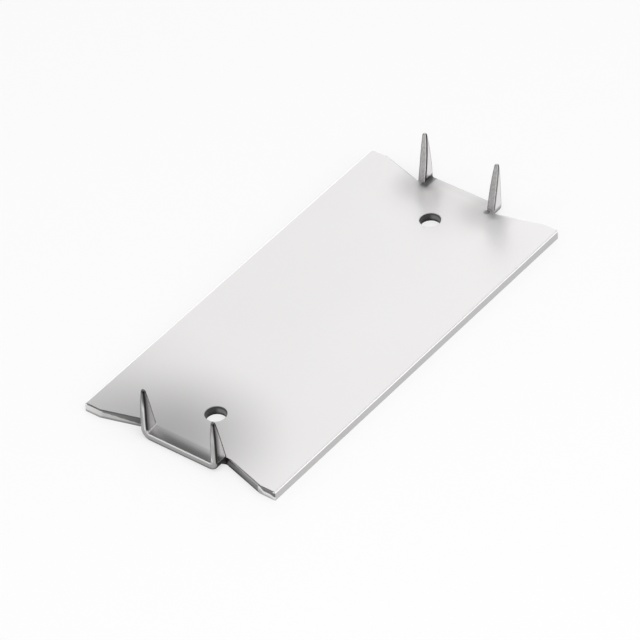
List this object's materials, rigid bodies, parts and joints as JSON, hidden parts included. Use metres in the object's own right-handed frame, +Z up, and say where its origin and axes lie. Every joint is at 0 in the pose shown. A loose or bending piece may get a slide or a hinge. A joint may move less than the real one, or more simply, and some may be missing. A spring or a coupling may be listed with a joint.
{
  "type": "nail protector plate",
  "caption": "Flat steel plate that is nailed over a stud's edge to guard pipes and cables, with folded prongs at both ends and nail holes on its centre line.",
  "frame": {"origin": "middle of the plate's underside, on the surface that it lies on", "axes": "+X along the length, +Y across the width, +Z up, the way the prongs point"},
  "size_m": [0.0762, 0.0382, 0.0103],
  "materials": {
    "steel": "satin rolled sheet with sheared edges"
  },
  "bodies": {
    "root": {"protector_plate": "steel"}
  },
  "joints": []
}
